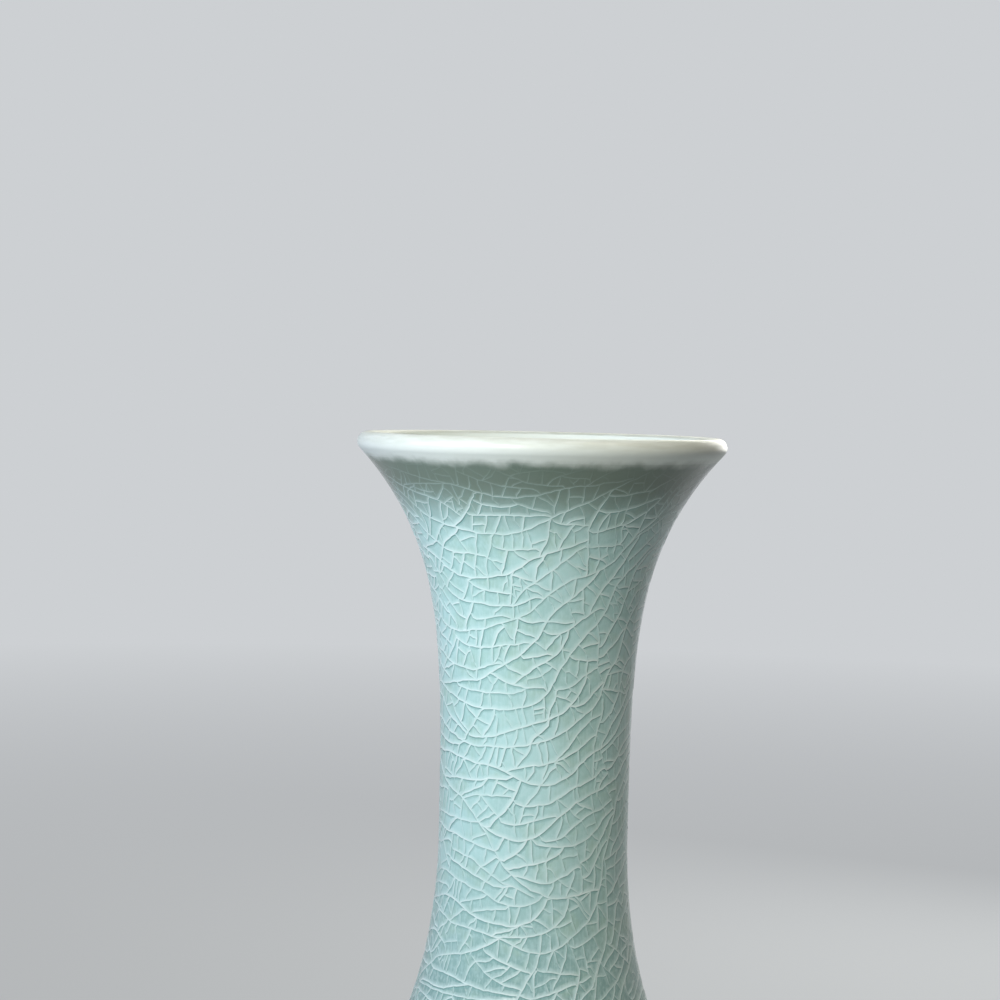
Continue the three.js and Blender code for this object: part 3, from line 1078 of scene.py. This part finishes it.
celadon = glaze("clear_celadon")
crackled = glaze("crackled_celadon", cracks=True)
in_the_mouth = {"pale_heights": MOUTH_PALE_AND_LIGHT, "pool_and_shadow_share": 0.0, "bare": 0.0}
celadon_inside = glaze("celadon_in_the_mouth", **in_the_mouth)
crackled_inside = glaze("crackled_in_the_mouth", cracks=True, **in_the_mouth)
print("glazes:", celadon.name, crackled.name, celadon_inside.name, crackled_inside.name)

# %% [markdown]
# The foot ring is bare stoneware, and so is the wall under the glaze. It was thrown, trimmed and fired,
# which leaves it dry and matt, a warm buff with dark grains of grit. The slip in the joints is the same
# clay, sieved and paler. Roughness near 0.85 takes the shine off, and the grit also roughens the light.

# %% The bare clay
GRIT_SIZE, GRIT_HEIGHT, GRIT_STRENGTH = 0.9 * MM, 0.15 * MM, 0.6
GRIT_LIMITS = (0.4, 0.75)
CLAY_ROUGHNESS = 0.85


def bare_clay(name, light, deep):
    """Matt fired clay, mottled between two colours by its grit."""
    material = bpy.data.materials.new(name)
    tree = emptied(material)
    place = add(tree, "ShaderNodeTexCoord").outputs["Object"]
    grit = add(tree, "ShaderNodeTexNoise", Vector=place, Scale=1 / GRIT_SIZE, Detail=4.0)
    tone = tinted(tree, linear(light), deep, grit.outputs[0], *GRIT_LIMITS)
    bump = add(tree, "ShaderNodeBump",
               Height=grit.outputs[0], Strength=GRIT_STRENGTH, Distance=GRIT_HEIGHT)
    shader = add(tree, "ShaderNodeBsdfPrincipled",
                 Base_Color=tone, Roughness=CLAY_ROUGHNESS, Normal=bump.outputs[0])
    add(tree, "ShaderNodeOutputMaterial", Surface=shader.outputs[0])
    return material


stoneware = bare_clay("bare_stoneware", "#DCC7A4", "#B29068")
slip = bare_clay("fired_slip", "#E0D2BA", "#C2AF90")
print("clays:", stoneware.name, slip.name)

# %% [markdown]
# Each piece takes its material and rides on the vase's one body. Its row also lists the slot of the
# record that matches its finish, but nothing here reads that column. A smooth skin stands for the solid
# whose form it repeats, and the crackle is added to them. The shoulder's clay and the two slip joints
# lie under glaze all over, so their solids stay as they are and only get the right clay.

# %% Dress the pieces
DRESSING = [
    (outer_glaze, celadon, "celadon_glaze", "outer_glaze"),
    (lip_glaze, celadon, "pale_lip_glaze", "lip_glaze"),
    (inner_glaze, celadon_inside, "celadon_glaze", "inner_glaze"),
    (base_glaze, celadon, "celadon_glaze", "base_glaze"),
    (clay_foot, stoneware, "stoneware", "thrown_bowl"),
    (clay_neck, stoneware, "stoneware", "thrown_neck"),
    (mouth_crackle, crackled_inside, "celadon_glaze", None),
]
DRESSING += [(piece, crackled, "celadon_glaze", None) for piece in crackle_pieces]
for piece, material, slot, node in DRESSING:
    piece.data.materials.append(material)
    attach(piece, "root")
    if node:
        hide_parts(node)
KEPT_SOLIDS = {"thrown_shoulder": stoneware, "belly_slip_joint": slip, "neck_slip_joint": slip}
for node, material in KEPT_SOLIDS.items():
    for kept_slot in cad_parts[node].material_slots:
        kept_slot.material = material
print("dressed:", len(DRESSING), "new pieces and", len(KEPT_SOLIDS), "solids")

# %% [markdown]
# The studio is a pale floor that runs out to a pale sky. Camera rays and mirror rays see both at a
# fixed paleness, and only the floor near the vase stays partly a lit surface, to take its shadow. All
# other rays find the floor as plain paint and the sky nearly dark, so the lamps alone light the vase.

# %% A shader to light by and another to see
def as_seen(tree, lit, seen):
    """One shader for the light that it gives, and another for camera and mirror rays to see."""
    rays = add(tree, "ShaderNodeLightPath")
    mirror = add(tree, "ShaderNodeMath", {"operation": "MAXIMUM"},
                 _0=rays.outputs["Is Glossy Ray"], _1=rays.outputs["Is Transmission Ray"])
    direct = add(tree, "ShaderNodeMath", {"operation": "MAXIMUM"},
                 _0=rays.outputs["Is Camera Ray"], _1=mirror.outputs[0])
    mixed = add(tree, "ShaderNodeMixShader",
                _0=direct.outputs[0], _1=lit.outputs[0], _2=seen.outputs[0])
    return mixed.outputs[0]


# %% [markdown]
# The floor is one flat disc, far wider than the vase. Near the vase the eye sees nearly half of it as
# a lit surface, and that share fades out with the distance.

# %% The floor
BACKDROP = "#CDD0D3"
FLOOR_RADIUS = 6.0
FLOOR_SIDES = 64
FLOOR_GAP = 0.2 * MM
FADE_NEAR, FADE_FAR, FADE_LEAST = 0.3, 2.2, 0.55

floor_bm = bmesh.new()
bmesh.ops.create_circle(floor_bm, cap_ends=True, radius=FLOOR_RADIUS, segments=FLOOR_SIDES)
floor = finished(floor_bm, "floor")
floor.location.z = -FLOOR_GAP

floor_paint = bpy.data.materials.new("floor_paint")
paint = emptied(floor_paint)
place = add(paint, "ShaderNodeTexCoord").outputs["Object"]
distance = add(paint, "ShaderNodeVectorMath", {"operation": "LENGTH"}, _0=place)
fade = add(paint, "ShaderNodeMapRange",
           _0=distance.outputs["Value"], _1=FADE_NEAR, _2=FADE_FAR, _3=FADE_LEAST, _4=1.0)
lit = add(paint, "ShaderNodeBsdfDiffuse", Color=linear(BACKDROP))
even = add(paint, "ShaderNodeEmission", Color=linear(BACKDROP), Strength=1.0)
pale = add(paint, "ShaderNodeMixShader", _0=fade.outputs[0], _1=lit.outputs[0], _2=even.outputs[0])
add(paint, "ShaderNodeOutputMaterial", Surface=as_seen(paint, lit, pale))
floor.data.materials.append(floor_paint)

# %% [markdown]
# The sky closes the picture behind the floor in the floor's own colour, so the two meet without a hard
# line. As a light it gives only a fiftieth of what it shows.

# %% The sky
SKY_LIGHT = 0.02
world = bpy.data.worlds.new("studio")
bpy.context.scene.world = world
sky = emptied(world)
shown = add(sky, "ShaderNodeBackground", Color=linear(BACKDROP), Strength=1.0)
lighting = add(sky, "ShaderNodeBackground", Color=linear(BACKDROP), Strength=SKY_LIGHT)
add(sky, "ShaderNodeOutputWorld", Surface=as_seen(sky, lighting, shown))
print("floor and sky are", BACKDROP)

# %% [markdown]
# Five soft lamps light the vase, each a lit square that faces the top of the neck. The window is the
# main one, in front and a little to the left. It is close, so its light weakens down the body. A bluer
# one beside it rounds off the left side, and a weak warm one high on the right lights the lip. One
# behind draws a thin edge round the dark side, and the last lights the back and the right side.

# %% The lamps
NECK_TOP = Vector((0, 0, 0.26))


def around_neck(turn_left, rise, distance):
    """A place round the top of the neck: degrees to the left of the front, degrees up, metres."""
    turn, rise = math.radians(turn_left), math.radians(rise)
    level = Vector((-math.sin(turn), -math.cos(turn), 0)) * math.cos(rise)
    return NECK_TOP + (level + Vector((0, 0, math.sin(rise)))) * distance


def lamp(name, spot, side, power, colour):
    """A soft square lamp of some watts that stands at a spot and faces the top of the neck."""
    light = bpy.data.lights.new(name, "AREA")
    light.shape = "RECTANGLE"
    light.size, light.size_y = side, side
    light.energy = power
    light.color = linear(colour)[:3]
    holder = bpy.data.objects.new(name, light)
    holder.location = spot
    holder.rotation_euler = (NECK_TOP - spot).to_track_quat("-Z", "Y").to_euler()
    holder.visible_camera = False
    bpy.context.scene.collection.objects.link(holder)


lamp("window", around_neck(20, 24, 0.35), side=0.14, power=0.77, colour="#FFFFF8")
lamp("window_left", around_neck(60, 20, 0.35), side=0.14, power=0.65, colour="#D8E6FF")
lamp("high_right", around_neck(-60, 64, 0.6), side=0.24, power=0.8, colour="#FFF0D8")
lamp("sky_behind", around_neck(190, 30, 1.1), side=0.44, power=1.5, colour="#FFFEEC")
lamp("back_fill", around_neck(206, 12, 0.9), side=0.4, power=3.0, colour="#FFFFF8")
print("lamps aim at", round(NECK_TOP.z, 2), "m over the floor")

# %% [markdown]
# The camera stands a little above the mouth and looks slightly down, rolled by about a degree, so
# that the lip and the neck land where they do in the photograph. Its place follows from where the
# middle of the lip lies in the picture and how far away it is. The lens has to see the photograph's
# square frame, so it is worked out from the frame's size in pixels.

# %% The camera
IMAGE_SIZE = 1000
FOCAL_PIXELS = 2200
CAMERA_DISTANCE = 0.568
PITCH_DOWN = math.radians(2.81)
ROLL = math.radians(1.26)
LIP_PIXEL = (542.0, 444.3)
LIP_CENTRE = Vector((0, 0, VASE_HEIGHT - LIP_ROLL))
SENSOR_WIDTH = 36
NEAREST, FARTHEST = 0.01, 50

forward = Vector((0, math.cos(PITCH_DOWN), -math.sin(PITCH_DOWN)))
level_right = Vector((1, 0, 0))
level_up = Vector((0, math.sin(PITCH_DOWN), math.cos(PITCH_DOWN)))
right = level_right * math.cos(ROLL) + level_up * math.sin(ROLL)
up = level_up * math.cos(ROLL) - level_right * math.sin(ROLL)
across = (LIP_PIXEL[0] - IMAGE_SIZE / 2) / FOCAL_PIXELS
down = (LIP_PIXEL[1] - IMAGE_SIZE / 2) / FOCAL_PIXELS

camera_data = bpy.data.cameras.new("camera")
camera_data.sensor_width = SENSOR_WIDTH
camera_data.lens = SENSOR_WIDTH * FOCAL_PIXELS / IMAGE_SIZE
camera_data.clip_start = NEAREST
camera_data.clip_end = FARTHEST
camera = bpy.data.objects.new("camera", camera_data)
camera.location = LIP_CENTRE - CAMERA_DISTANCE * (forward + right * across - up * down)
camera.rotation_euler = Matrix((right, up, -forward)).transposed().to_euler()
bpy.context.scene.collection.objects.link(camera)
bpy.context.scene.camera = camera
bpy.context.scene.view_settings.view_transform = "Standard"
print("camera at", [round(v, 4) for v in camera.location])
